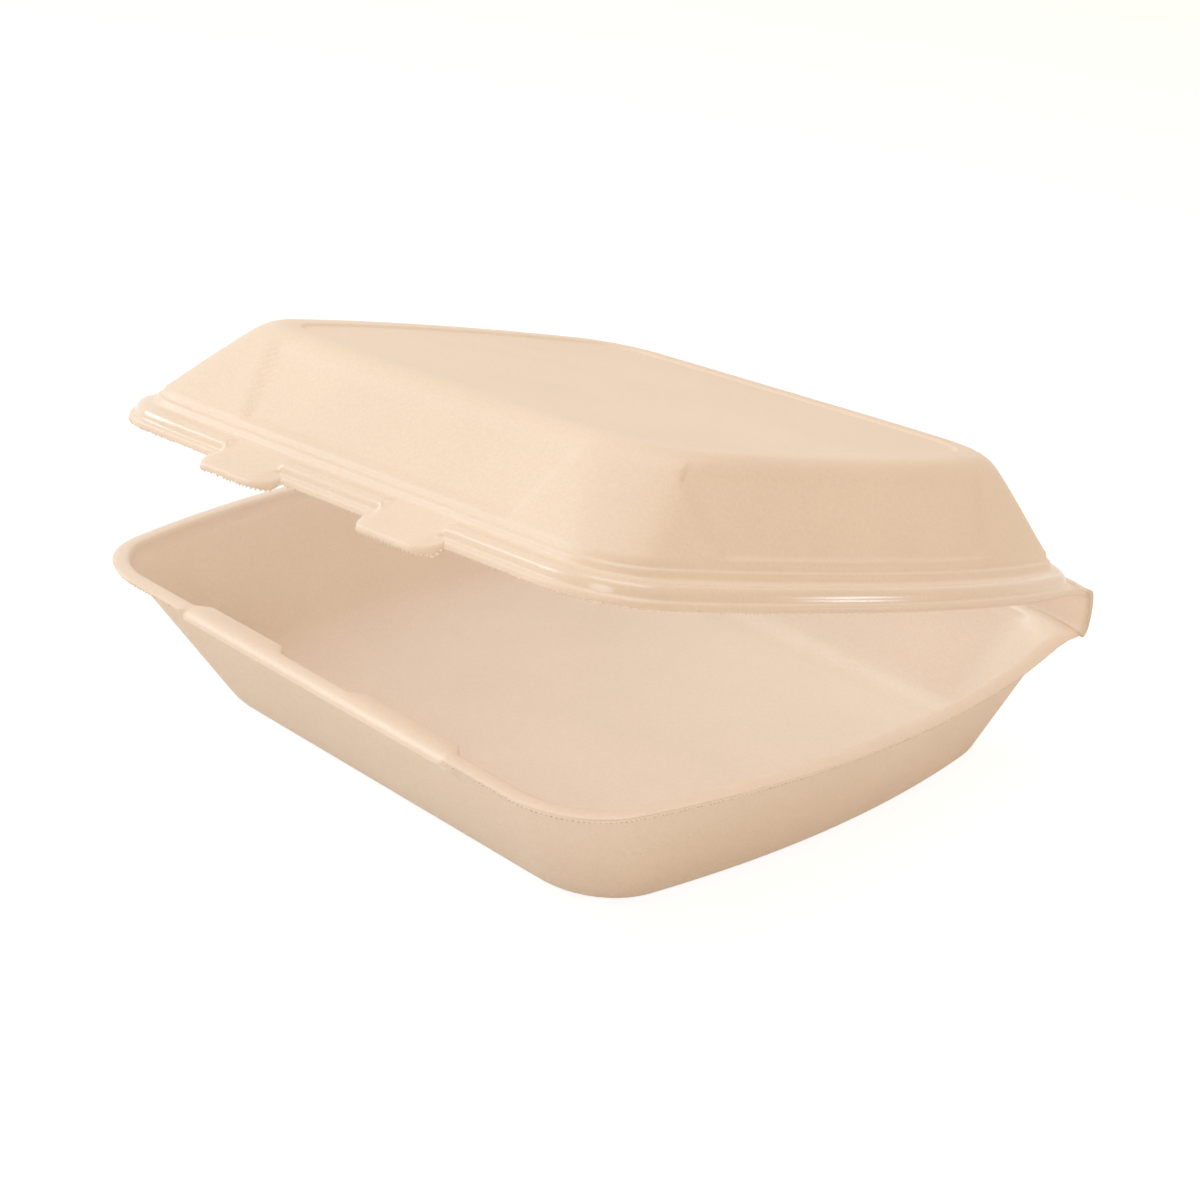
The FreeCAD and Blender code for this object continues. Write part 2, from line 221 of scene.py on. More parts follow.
SQUARE = np.column_stack([corner_shift(), np.zeros(COUNT)])
moved = np.linalg.norm(SQUARE, axis=1)
SQUARE[:, 2] = -PLATE_DROOP * smooth_step(moved, 2.0, 9.0)
print("plate stations", int((moved > 1.5).sum()), "reach", round(moved.max(), 1))

# %% [markdown]
# The foam itself: a soft skin over fine closed cells. Up close there is a faint pebbled grain, the
# colour drifts a little from place to place, and the mould has polished the rolled rims, while the
# outside of the tray stays matt. These effects are a shader group, so that both shells and the
# strip can use them with their own amounts. The pattern sits on object coordinates, because the
# sheet has no weave that would have to follow its surface. Where the foam is glossy, the group
# takes the grain away, because the mould has pressed the cells shut there.

# %% A group for the foam's skin
def group_socket(tree, name, kind, way, default=None):
    socket = tree.interface.new_socket(name=name, socket_type=kind, in_out=way)
    if default is not None:
        socket.default_value = default
    return socket


def add_node(tree, kind, values=None, **settings):
    node = tree.nodes.new(kind)
    for key, setting in settings.items():
        setattr(node, key, setting)
    for key, number in (values or {}).items():
        node.inputs[key].default_value = number
    return node


def foam_skin_group():
    tree = bpy.data.node_groups.new("foam_skin", "ShaderNodeTree")
    for name, kind, default in (("Colour", "NodeSocketColor", (0.86, 0.7, 0.52, 1.0)),
                                ("Gloss", "NodeSocketFloat", 0.0), ("Grain", "NodeSocketFloat", 1.0),
                                ("Mottle", "NodeSocketFloat", 1.0)):
        group_socket(tree, name, kind, "INPUT", default)
    for name, kind in (("Colour", "NodeSocketColor"), ("Roughness", "NodeSocketFloat"),
                       ("Height", "NodeSocketFloat")):
        group_socket(tree, name, kind, "OUTPUT")
    into, out = tree.nodes.new("NodeGroupInput"), tree.nodes.new("NodeGroupOutput")
    link = tree.links.new
    place = tree.nodes.new("ShaderNodeTexCoord").outputs["Object"]

    cells = add_node(tree, "ShaderNodeTexVoronoi", {"Scale": 2100.0, "Randomness": 1.0}, feature="SMOOTH_F1")
    pebble = add_node(tree, "ShaderNodeTexNoise", {"Scale": 1300.0, "Detail": 2.0, "Roughness": 0.6})
    drift = add_node(tree, "ShaderNodeTexNoise", {"Scale": 22.0, "Detail": 2.0, "Roughness": 0.5})
    fleck = add_node(tree, "ShaderNodeTexNoise", {"Scale": 900.0, "Detail": 2.0, "Roughness": 0.6})
    for node in (cells, pebble, drift, fleck):
        link(place, node.inputs["Vector"])

    def spread(source, low, high, to_low, to_high):
        ranged = add_node(tree, "ShaderNodeMapRange", {"From Min": low, "From Max": high,
                                                       "To Min": to_low, "To Max": to_high})
        link(source, ranged.inputs["Value"])
        return ranged.outputs["Result"]

    drifting = spread(drift.outputs["Fac"], 0.3, 0.7, -0.02, 0.02)
    flecked = spread(fleck.outputs["Fac"], 0.35, 0.65, -0.02, 0.02)
    both = add_node(tree, "ShaderNodeMath", operation="ADD")
    link(drifting, both.inputs[0])
    link(flecked, both.inputs[1])
    amount = add_node(tree, "ShaderNodeMath", operation="MULTIPLY")
    link(both.outputs[0], amount.inputs[0])
    link(into.outputs["Mottle"], amount.inputs[1])
    lighter = add_node(tree, "ShaderNodeMath", {1: 1.0}, operation="ADD")
    link(amount.outputs[0], lighter.inputs[0])
    tint = add_node(tree, "ShaderNodeVectorMath", operation="SCALE")
    link(into.outputs["Colour"], tint.inputs[0])
    link(lighter.outputs[0], tint.inputs["Scale"])
    link(tint.outputs["Vector"], out.inputs["Colour"])

    dull = spread(into.outputs["Gloss"], 0.0, 1.0, 0.6, 0.16)
    speckle = spread(pebble.outputs["Fac"], 0.35, 0.65, -0.05, 0.05)
    rough = add_node(tree, "ShaderNodeMath", operation="ADD")
    link(dull, rough.inputs[0])
    link(speckle, rough.inputs[1])
    link(rough.outputs[0], out.inputs["Roughness"])

    height = add_node(tree, "ShaderNodeMath", {1: 0.6}, operation="MULTIPLY_ADD")
    link(pebble.outputs["Fac"], height.inputs[0])
    link(cells.outputs["Distance"], height.inputs[2])
    matt = spread(into.outputs["Gloss"], 0.05, 0.3, 1.0, 0.05)
    open_cells = add_node(tree, "ShaderNodeMath", operation="MULTIPLY")
    link(height.outputs[0], open_cells.inputs[0])
    link(matt, open_cells.inputs[1])
    grained = add_node(tree, "ShaderNodeMath", operation="MULTIPLY")
    link(open_cells.outputs[0], grained.inputs[0])
    link(into.outputs["Grain"], grained.inputs[1])
    link(grained.outputs[0], out.inputs["Height"])
    return tree


FOAM_SKIN = foam_skin_group()
print("group", FOAM_SKIN.name, "nodes", len(FOAM_SKIN.nodes))

# %% [markdown]
# Each material places the group once. Gloss comes from the mesh's own attribute, which is high on
# the rolled rims; the strip and the teeth have one gloss all over. The grain is a bump of a few
# tenths of a millimetre and not a displaced surface, because its cells are smaller than the faces.
# It is strongest on the tray, whose outside shows the coarsest foam.

# %% Foam materials
GRAIN_DEEP = 0.3
FOAM = (0.87, 0.725, 0.59)


def foam_material(name, colour, grain, mottle, bump, gloss=None):
    material = bpy.data.materials.new(name)
    material.use_nodes = True
    tree = material.node_tree
    shader = tree.nodes["Principled BSDF"]
    shader.inputs["Specular IOR Level"].default_value = 0.5
    skin = tree.nodes.new("ShaderNodeGroup")
    skin.node_tree = FOAM_SKIN
    skin.inputs["Colour"].default_value = (*colour, 1.0)
    skin.inputs["Grain"].default_value = grain
    skin.inputs["Mottle"].default_value = mottle
    if gloss is None:
        shine = tree.nodes.new("ShaderNodeAttribute")
        shine.attribute_name = "gloss"
        tree.links.new(shine.outputs["Fac"], skin.inputs["Gloss"])
    else:
        skin.inputs["Gloss"].default_value = gloss
    relief = tree.nodes.new("ShaderNodeBump")
    relief.inputs["Strength"].default_value = bump
    relief.inputs["Distance"].default_value = GRAIN_DEEP * MM
    tree.links.new(skin.outputs["Colour"], shader.inputs["Base Color"])
    tree.links.new(skin.outputs["Roughness"], shader.inputs["Roughness"])
    tree.links.new(skin.outputs["Height"], relief.inputs["Height"])
    tree.links.new(relief.outputs["Normal"], shader.inputs["Normal"])
    return material


tray_foam = foam_material("tray_foam", FOAM, grain=1.5, mottle=1.0, bump=0.7)
lid_foam = foam_material("lid_foam", FOAM, grain=1.2, mottle=1.0, bump=0.55)
strip_foam = foam_material("strip_foam", FOAM, grain=0.8, mottle=1.0, bump=0.5, gloss=0.35)
tooth_foam = foam_material("tooth_foam", FOAM, grain=0.5, mottle=0.6, bump=0.3, gloss=0.2)
print("foams", [m.name for m in (tray_foam, lid_foam, strip_foam, tooth_foam)])

# %% [markdown]
# The tray. Its rings start at the middle of the underside, climb the outer wall, go over the rim
# and down to the floor inside. Round most of the rim the sheet ends in a small lip with a ledge
# under it. Along the front, between the corners, it is rolled smoothly over instead, and the inner
# edge steps in twice to make the two lands that the lid's tabs press against. A number for each
# station says how far it is rolled, so one table of rings holds both kinds of rim.

# %% Places along the tray's rim
SHEET, TRAY_TALL, LIP_OUT = 2.6, 47.2, 3.0
LAND_SPANS, LAND_DEEP = ((-55.5, -16.8), (12.4, 56.8)), 3.4
FAR_AWAY = 1e3                                       # for stations that aren't on the straight front
front_x = np.where(rim_normals[:, 1] < -0.999, rim_points[:, 0], FAR_AWAY)
rolled = smooth_step(front_x, -57.5, -55.0) * (1 - smooth_step(front_x, 54.0, 56.5))
land = sum(np.clip((front_x - start) / LAND_DEEP, 0, 1) * np.clip((end - front_x) / LAND_DEEP, 0, 1)
           for start, end in LAND_SPANS)
print("rolled stations", int((rolled > 0.5).sum()), "land stations", int((land > 0.5).sum()))


def mixed(lip, roll):
    return lip + (roll - lip) * rolled


# %% The tray's rings
# each row: the wall's share at the lip, its inset and height there, and the same on the rolled front
OUTER_RIM = [
    ((0.76, 0.0, 35.9), (0.70, 0.0, 33.0)),
    ((0.86, 0.0, 40.6), (0.76, -0.25, 35.6)),
    ((0.925, 0.0, 43.4), (0.84, -0.9, 38.6)),
    ((0.935, -0.3, 43.85), (0.92, -1.6, 41.0)),
    ((0.94, -0.75, 43.95), (0.96, -2.15, 42.4)),
    ((0.945, -0.8, 44.2), (0.98, -2.5, 43.2)),
    ((0.96, -0.75, 44.45), (1.0, -2.75, 43.7)),
    ((1.0, -1.1, 44.5), (1.0, -2.85, 44.1)),
    ((1.0, -1.6, 44.75), (1.0, -2.7, 44.6)),
    ((1.0, -2.2, 45.2), (1.0, -2.4, 45.1)),
    ((1.0, -2.7, 45.75), (1.0, -1.9, 45.7)),
    ((1.0, -3.0, 46.3), (1.0, -1.3, 46.25)),
    ((1.0, -2.7, 46.5), (1.0, -0.6, 46.7)),
    ((1.0, -2.0, 46.9), (1.0, 0.1, 47.0)),
    ((1.0, -1.0, 47.12), (1.0, 0.7, 47.15)),
    ((1.0, 0.0, 47.2), (1.0, 1.2, 47.2)),
]
# how far each of these rings follows the square rear corners
OUTER_SQUARE = [0.0] * 7 + [0.35, 0.7, 0.95] + [1.0] * 5 + [0.95]
# the inner edge: inset and height, and how far down the wall each ring goes on a land
INNER_RIM = [(1.0, 47.15, 0.0), (1.7, 46.95, 0.0), (2.2, 46.5, 0.25), (2.5, 45.9, 0.8),
             (2.62, 45.4, 2.3), (2.66, 45.0, 3.0)]

FOOT_ROUND, FLOOR_ROUND, FLOOR_RISE = 4.5, 8.0, 9.0
FLOOR_MIDDLE = (FLOOR["rear"] - FLOOR["front"]) / 2
MATT, WALL_GLOSS, INSIDE_GLOSS, RIM_GLOSS = 0.05, 0.1, 0.25, 0.6
between = rings_between(FLOOR, inset(RIM, LIP_OUT))
tray_rings, tray_gloss = [], []


def tray_ring(share, inwards, height, gloss, square=0.0):
    tray_rings.append(between(share, inwards, height) + SQUARE * square)
    tray_gloss.append(np.broadcast_to(np.asarray(gloss, float), COUNT))


for scale in (0.12, 0.35, 0.6, 0.8, 0.93):                    # the underside
    tray_rings.append(drawn_in(between(0.0, FOOT_ROUND, 0.0), scale, FLOOR_MIDDLE))
    tray_gloss.append(np.zeros(COUNT))
for t in np.linspace(0, 1, 7):                                 # the round foot
    rise = t * t * FOOT_ROUND
    tray_ring(rise / TRAY_TALL, (1 - t) ** 2 * FOOT_ROUND, rise, MATT)
for share in (0.16, 0.24, 0.33, 0.42, 0.51, 0.6):              # the outer wall
    tray_ring(share, 0.0, share * TRAY_TALL, MATT)
for number, ((lip, roll), square) in enumerate(zip(OUTER_RIM, OUTER_SQUARE)):
    share, inwards, height = (mixed(a, b) for a, b in zip(lip, roll))
    tray_ring(share, inwards, height, WALL_GLOSS if number < 3 else RIM_GLOSS, square)
for number, (inwards, height, drop) in enumerate(INNER_RIM):
    start = 1.0 + inwards * 0.62 if inwards < 2 else inwards
    tray_ring(1.0, mixed(inwards, start) + LAND_DEEP * land, height - drop * land, RIM_GLOSS,
              0.86 - 0.13 * number)
for share in (0.92, 0.88, 0.83, 0.76, 0.68, 0.58, 0.48, 0.38, 0.3):        # the inner wall
    low = 1.0 - 0.115 * land if share > 0.9 else 1.0
    tray_ring(share * low, SHEET, share * low * (TRAY_TALL - SHEET) + SHEET * 0.7, INSIDE_GLOSS)
for t in np.linspace(0, 1, 9)[1:]:                             # the soft corner of the floor
    wall = (1 - t) ** 2 * 0.22
    tray_ring(wall + 0.03, SHEET + t * t * FLOOR_ROUND, SHEET + (1 - t) ** 2 * FLOOR_RISE, INSIDE_GLOSS)
for scale in (0.94, 0.82, 0.66, 0.48, 0.3, 0.12):              # the floor inside
    tray_rings.append(drawn_in(between(0.03, SHEET + FLOOR_ROUND, SHEET), scale, FLOOR_MIDDLE))
    tray_gloss.append(np.full(COUNT, INSIDE_GLOSS))

tray_shell = shell("tray_shell", tray_rings, tray_foam, tray_gloss)

# %% [markdown]
# The lid is drawn shut and then stood open. Its rings start under the middle of the top, come down
# inside, cross the cut edge of the skirt and climb the outside: skirt, rolled bead, crease, wall
# and top. Where the bead stops, above each tab, the ring's place is mixed with a plain ramp, and
# below it the sheet reaches out as the tab. The top has a shallow recess inside its edge.

# %% Places along the lid's rim
SEAT, LID_TALL, FLANGE = TRAY_TALL + 0.3, 35.2, 9.0
TABS = (-33.0, 33.0)
TAB_HALF, TAB_REACH, TAB_ROUND, TAB_DROOP = 14.8, 7.2, 6.5, 2.3
GAP_HALF, GAP_EASE = 10.6, 2.4


def from_tab(x):
    return np.min([np.abs(x - middle) for middle in TABS], axis=0)


off_tab = from_tab(front_x)
ramped = 1 - smooth_step(off_tab, GAP_HALF, GAP_HALF + GAP_EASE)
into_round = np.clip((off_tab - (TAB_HALF - TAB_ROUND)) / TAB_ROUND, 0, 1)
reach = (TAB_REACH - TAB_ROUND * (1 - np.sqrt(1 - into_round ** 2))) * (off_tab < TAB_HALF)
on_tab = (off_tab < TAB_HALF).astype(float)
print("ramp stations", int((ramped > 0.5).sum()), "tab stations", int(on_tab.sum()))

# %% The lid's shell, drawn shut
lid_between = rings_between(inset(RIM, FLANGE), TOP)
lid_rings, lid_gloss = [], []


def lid_ring(share, inwards, height, gloss=0.15):
    lid_rings.append(lid_between(share, inwards, SEAT + np.asarray(height, float)))
    lid_gloss.append(np.broadcast_to(np.asarray(gloss, float), COUNT))


def rim_ring(inwards, height, gloss=0.15, square=0.0):
    """A ring of the flange, whose inset counts from the outside of the rim."""
    lid_ring(0.0, np.asarray(inwards, float) - FLANGE, height, gloss)
    lid_rings[-1] += SQUARE * square


def on_ramp(plain, ramp):
    return plain + (ramp - plain) * ramped


WALL_FOOT, RECESS = 10.0, 0.8        # where the wall starts above the cut edge, and the top's recess
WALL_TALL = LID_TALL - WALL_FOOT
under_top = LID_TALL - SHEET
for scale in (0.12, 0.4, 0.65, 0.85):                          # the top, from inside
    flat = lid_between(0.95, SHEET + 6.0, SEAT + under_top - RECESS)
    lid_rings.append(drawn_in(flat, scale, 1.2))
    lid_gloss.append(np.full(COUNT, 0.1))
lid_ring(0.95, SHEET + 7.0, under_top - RECESS)
lid_ring(0.95, SHEET + 5.5, under_top)
lid_ring(0.94, SHEET + 2.6, under_top - 0.3)
lid_ring(0.9, SHEET + 0.8, under_top - 1.3)
for share in (0.85, 0.7, 0.5, 0.3, 0.14):                      # the wall, from inside
    lid_ring(share, SHEET, WALL_FOOT + share * WALL_TALL - SHEET * 0.5)
lid_ring(0.04, SHEET * 0.85, 9.0)
rim_ring(10.4, 7.9)                                            # the flange, from below
rim_ring(8.6, 5.4)
rim_ring(on_ramp(6.0, 6.4), on_ramp(3.9, 3.7))
rim_ring(on_ramp(3.8, 4.4), on_ramp(3.4, 2.5))
rim_ring(on_ramp(2.7, 3.4), on_ramp(2.4, 1.6))
rim_ring(2.3 * (1 - on_tab) + 2.6 * on_tab, on_ramp(1.3, 0.8))
rim_ring(on_ramp(2.3, 2.6), 0.25)
# the cut edge, which on a tab runs out to its tip
CUT_EDGE = ((0.0, 2.2, 0.0), (0.35, 1.5, 0.0), (0.7, 0.7, 0.0), (0.93, 0.25, 0.06), (1.0, 0.08, 0.35))
for out_share, plain_in, rise in CUT_EDGE:
    tip = -reach * out_share + CUT_EDGE[0][1] * (1 - out_share)
    drooped = -TAB_DROOP * out_share + rise
    rim_ring(np.where(on_tab > 0, tip, plain_in), np.where(on_tab > 0, drooped, rise), 0.2, out_share)

# %% The outside of the lid
# each row is an inset and a height: skirt, bead, flange, and a step up to the wall
OUTSIDE = [(0.0, 1.0), (0.02, 1.6), (0.25, 2.0), (0.8, 2.2), (1.3, 2.3), (1.55, 2.7), (1.6, 3.4), (1.75, 4.3),
           (2.2, 5.1), (2.9, 5.7), (3.8, 6.0), (5.1, 6.1), (6.4, 6.3), (7.0, 6.55), (7.3, 7.0), (7.5, 7.7),
           (7.75, 8.4), (8.3, 8.75), (8.9, 8.85)]
# over a tab, a plain ramp takes the bead's place: how far in from the tab's tip, and how thick
TAB_TOP = [(0.0, 1.6), (0.05, 1.95), (0.18, 2.1), (0.42, 2.15), (0.66, 2.15), (0.84, 2.2), (0.95, 2.35)]
RAMP_ENDS, RAMP_IN, RAMP_UP = 13, 1.0, 3.2
SKIRT_GLOSS, BEAD_GLOSS = 0.45, 0.95
for number, (plain_in, plain_up) in enumerate(OUTSIDE):
    share, tab_in, tab_up = ramped, plain_in, plain_up
    if number < len(TAB_TOP):
        along, thick = TAB_TOP[number]
        tab_in = -reach * (1 - along) + RAMP_IN * along
        tab_up = (thick - TAB_DROOP) * (1 - along) + RAMP_UP * along
        beside = on_tab * (1 - ramped) * (number < 4)
        share = np.clip(ramped + beside, 0, 1)
    elif number < RAMP_ENDS:
        climb = (number - len(TAB_TOP) + 1) / (RAMP_ENDS - len(TAB_TOP) + 1)
        tab_in, tab_up = RAMP_IN + 5.9 * climb, RAMP_UP + 3.3 * climb
    shine = BEAD_GLOSS - 0.6 * ramped if 4 < number < 11 else SKIRT_GLOSS
    rim_ring(plain_in + (tab_in - plain_in) * share, plain_up + (tab_up - plain_up) * share, shine,
             1.0 if number < 2 else 0.0)

# %% The wall and the top of the lid
WALL_SHARES = (0.06, 0.085, 0.11, 0.16, 0.22, 0.29, 0.36, 0.43, 0.5, 0.57, 0.64, 0.71, 0.77, 0.82)
TOP_EDGE = WALL_SHARES[-1]
TOP_GLOSS, ROUND_GLOSS = 0.2, 0.3
TOP_MIDDLE = 1.3
RECESS_EDGE = ((6.5, 0.0), (8.8, 0.0), (9.6, 0.05), (10.0, 0.25), (10.3, 0.6), (10.8, RECESS), (12.5, RECESS))
rim_ring(9.05, 9.2, ROUND_GLOSS)
lid_ring(0.012, 0.0, 9.9, ROUND_GLOSS)
lid_ring(0.03, 0.0, 10.9, ROUND_GLOSS)
first_wall_ring = len(lid_rings)
for share in WALL_SHARES:
    lid_ring(share, 0.0, WALL_FOOT + share * WALL_TALL, TOP_GLOSS)
for t in np.linspace(0, 1, 9)[1:]:                             # the round edge of the top
    left = (1 - TOP_EDGE) * (1 - t) ** 2
    lid_ring(1 - left, 4.6 * t * t, WALL_FOOT + WALL_TALL * (1 - left), ROUND_GLOSS)
for inwards, drop in RECESS_EDGE:
    lid_ring(1.0, inwards, LID_TALL - drop, TOP_GLOSS)
for scale in (0.9, 0.75, 0.58, 0.4, 0.2, 0.08):
    lid_rings.append(drawn_in(lid_between(1.0, 12.5, SEAT + LID_TALL - RECESS), scale, TOP_MIDDLE))
    lid_gloss.append(np.full(COUNT, TOP_GLOSS))
print("lid rings", len(lid_rings), "first of the wall", first_wall_ring)

# %% [markdown]
# Each wall of the lid has a shallow panel with leaning sides. The rings of the wall are moved in
# where they cross it, and the move fades in over a couple of millimetres. A narrower step would
# follow the stations and show as a comb, because the sides lean across them.

# %% Panels pressed into the lid's walls
PANEL_DEEP, PANEL_EDGE = 1.3, 2.4
PRESSED_RINGS = len(WALL_SHARES) + 5                 # the wall, and the start of the top's round edge
# the axis a wall runs along, which way it faces, and where the panel's sides are, low and high
PANELS = ((0, (0.0, -1.0), (-49.0, -66.5), (60.0, 64.5)),
          (0, (0.0, 1.0), (-56.0, -66.0), (56.0, 66.0)),
          (1, (1.0, 0.0), (-71.5, -80.0), (46.5, 64.0)),
          (1, (-1.0, 0.0), (-71.5, -80.0), (46.5, 64.0)))


def press_panel(ring, along, facing, left, right):
    """Moves a wall ring's points inwards inside a panel whose sides lean from low to high."""
    share = (ring[:, 2].mean() - SEAT - WALL_FOOT) / WALL_TALL
    start = left[0] + (left[1] - left[0]) * share
    end = right[0] + (right[1] - right[0]) * share
    place = ring[:, along]
    across = smooth_step(place, start, start + PANEL_EDGE) * (1 - smooth_step(place, end - PANEL_EDGE, end))
    up = smooth_step(share, 0.04, 0.085) * (1 - smooth_step(share, 0.7, 1.0))
    facing_it = (rim_normals @ np.array(facing)) > 0.9
    ring[:, :2] -= np.array(facing) * (PANEL_DEEP * up * across * facing_it)[:, None]


for index in range(first_wall_ring, first_wall_ring + PRESSED_RINGS):
    for panel in PANELS:
        press_panel(lid_rings[index], *panel)
print("panels", len(PANELS), "on rings", PRESSED_RINGS)

# %% [markdown]
# The photograph shows the lid partly open. It was opened about the fold behind the rims, and as the
# strip is soft, it has also pulled up on the right. The same two turns stand the drawn lid up.
# Foam is soft too, so first the lid is bent a little: its right side sags towards the rear, where
# nothing holds it up, and its front left corner is tucked in.

# %% Stand the lid open
FOLD = np.array([-117.0, 120.0, 48.2])
OPEN, TILT = math.radians(10.4), math.radians(4.0)
SAG, TUCK = 4.0, (1.0, 2.4)


def stood_open(points):
    p = np.asarray(points, float) - FOLD
    x, y, z = p[..., 0], p[..., 1], p[..., 2]
    y, z = y * math.cos(OPEN) + z * math.sin(OPEN), -y * math.sin(OPEN) + z * math.cos(OPEN)
    x, z = x * math.cos(TILT) - z * math.sin(TILT), x * math.sin(TILT) + z * math.cos(TILT)
    return np.stack([x, y, z], -1) + FOLD


def flexed(points):
    """The soft lid sags along its right side towards the rear, and its front left corner is tucked in."""
    p = np.array(points, float)
    up = 1 - 0.8 * smooth_step(p[..., 2] - SEAT, 8.0, 34.0)
    rear = np.clip((p[..., 1] + 45.0) / 150.0, 0, 1) ** 1.5
    corner = smooth_step(-p[..., 0], 66, 112) * smooth_step(-p[..., 1], 66, 110) * up
    p[..., 2] -= SAG * smooth_step(p[..., 0], 30, 108) * rear * up
    p[..., 0] += TUCK[0] * corner
    p[..., 1] += TUCK[1] * corner
    return p


lid_shell = shell("lid_shell", [stood_open(flexed(r)) for r in lid_rings], lid_foam, lid_gloss)
low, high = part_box("lid")
print("the plain lid's box", [round(v / MM, 1) for v in (*low, *high)])

# %% [markdown]
# The strip is the part of the sheet that joins the two rims. Folded, it is a thin band that bows
# out behind them, taller on the right, where the lid has pulled up. It hangs from the fold. Its top
# rim is a piece of its own.

# %% The folding strip
STRIP_HALF, STRIP_THICK, STRIP_BULGE = 105.0, 1.6, 3.2
STRIP_Y, STRIP_FOOT, STRIP_HEAD = 117.6, 45.2, SEAT + 1.1
STRIP_DROOP = 1.3
ACROSS, ROUND = 80, 25


def strip_points(x, turns, inner, thick):
    """Points of the band's section at x, on its outer or inner face."""
    droop = STRIP_DROOP * smooth_step(abs(x), 94.0, STRIP_HALF)
    foot = np.array([x, STRIP_Y, STRIP_FOOT - 0.5 * droop])
    head = stood_open(flexed(np.array([x, STRIP_Y, STRIP_HEAD - droop])))
    along = (head - foot) / np.linalg.norm(head - foot)
    out = np.array([0.0, along[2], -along[1]])
    half = np.linalg.norm(head - foot) / 2 + thick / 2 - inner * thick
    depth = STRIP_BULGE - inner * thick
    bow = np.abs(np.cos(turns)) ** 0.7
    return (foot + head) / 2 + np.outer(np.sin(turns) * half, along) + np.outer(bow * depth, out)


def strip_piece(name, start, end, half_width, thick=STRIP_THICK, count=ROUND):
    """A closed band whose section turns from one angle to another."""
    turns = np.linspace(math.radians(start), math.radians(end), count)
    loops = np.array([np.concatenate([strip_points(x, turns, 0, thick),
                                      strip_points(x, turns, 1, thick)[::-1]])
                      for x in np.linspace(-half_width, half_width, ACROSS)])
    size = loops.shape[1]
    faces = []
    for i in range(ACROSS - 1):
        for j in range(size):
            k = (j + 1) % size
            faces.append((i * size + j, i * size + k, (i + 1) * size + k, (i + 1) * size + j))
    faces.append(tuple(range(size - 1, -1, -1)))
    faces.append(tuple(range((ACROSS - 1) * size, ACROSS * size)))
    print(name, "faces", len(faces))
    return new_object(name, loops.reshape(-1, 3), faces, strip_foam)


strip_band = strip_piece("strip_band", -90, 90, STRIP_HALF)
strip_head = strip_piece("strip_head", 48, 90, STRIP_HALF - 0.2, STRIP_THICK + 0.12, count=13)

# %% [markdown]
# The edges of the sheet were cut with a toothed blade, which leaves fine teeth about 1.4 mm apart
# along the lid's skirt and tabs and under the tray's lip. Hundreds of equal teeth along a line are
# a job for Geometry Nodes: a curve is resampled at the pitch, and a small four-sided point is put on
# each of its points, turned along the curve.

# %% A tree that cuts teeth along a line
PITCH = 1.4


def tooth_tree():
    tree = bpy.data.node_groups.new("cut_teeth", "GeometryNodeTree")
    group_socket(tree, "Geometry", "NodeSocketGeometry", "INPUT")
    pitch = group_socket(tree, "Pitch", "NodeSocketFloat", "INPUT", PITCH * MM)
    depth = group_socket(tree, "Depth", "NodeSocketFloat", "INPUT", 0.5 * MM)
    width = group_socket(tree, "Width", "NodeSocketFloat", "INPUT", 0.7 * MM)
    group_socket(tree, "Material", "NodeSocketMaterial", "INPUT")
    group_socket(tree, "Geometry", "NodeSocketGeometry", "OUTPUT")
    into, out = tree.nodes.new("NodeGroupInput"), tree.nodes.new("NodeGroupOutput")
    link = tree.links.new
    curve = tree.nodes.new("GeometryNodeMeshToCurve")
    resample = add_node(tree, "GeometryNodeResampleCurve", mode="LENGTH")
    tangent = tree.nodes.new("GeometryNodeInputTangent")
    turn = add_node(tree, "FunctionNodeAlignRotationToVector", axis="X")
    tooth = add_node(tree, "GeometryNodeMeshCone", {"Vertices": 4, "Radius Top": 0.0}, fill_type="NGON")
    flip = add_node(tree, "GeometryNodeTransform", {"Rotation": (math.pi, 0.0, 0.0)})
    place = tree.nodes.new("GeometryNodeInstanceOnPoints")
    wobble = add_node(tree, "FunctionNodeRandomValue", data_type="FLOAT")
    wobble.inputs["Seed"].default_value = 7
    for socket, number in ((2, 0.75), (3, 1.15)):                # the smallest and the largest tooth
        wobble.inputs[socket].default_value = number
    realize = tree.nodes.new("GeometryNodeRealizeInstances")
    finish = tree.nodes.new("GeometryNodeSetMaterial")
    link(into.outputs["Geometry"], curve.inputs["Mesh"])
    link(curve.outputs["Curve"], resample.inputs["Curve"])
    link(into.outputs["Pitch"], resample.inputs["Length"])
    link(tangent.outputs["Tangent"], turn.inputs["Vector"])
    link(into.outputs["Width"], tooth.inputs["Radius Bottom"])
    link(into.outputs["Depth"], tooth.inputs["Depth"])
    link(tooth.outputs["Mesh"], flip.inputs["Geometry"])
    link(resample.outputs["Curve"], place.inputs["Points"])
    link(flip.outputs["Geometry"], place.inputs["Instance"])
    link(turn.outputs["Rotation"], place.inputs["Rotation"])
    link(wobble.outputs[1], place.inputs["Scale"])
    link(place.outputs["Instances"], realize.inputs["Geometry"])
    link(realize.outputs["Geometry"], finish.inputs["Geometry"])
    link(into.outputs["Material"], finish.inputs["Material"])
    link(finish.outputs["Geometry"], out.inputs["Geometry"])
    return tree, {"Pitch": pitch.identifier, "Depth": depth.identifier, "Width": width.identifier}


TEETH, TEETH_INPUTS = tooth_tree()


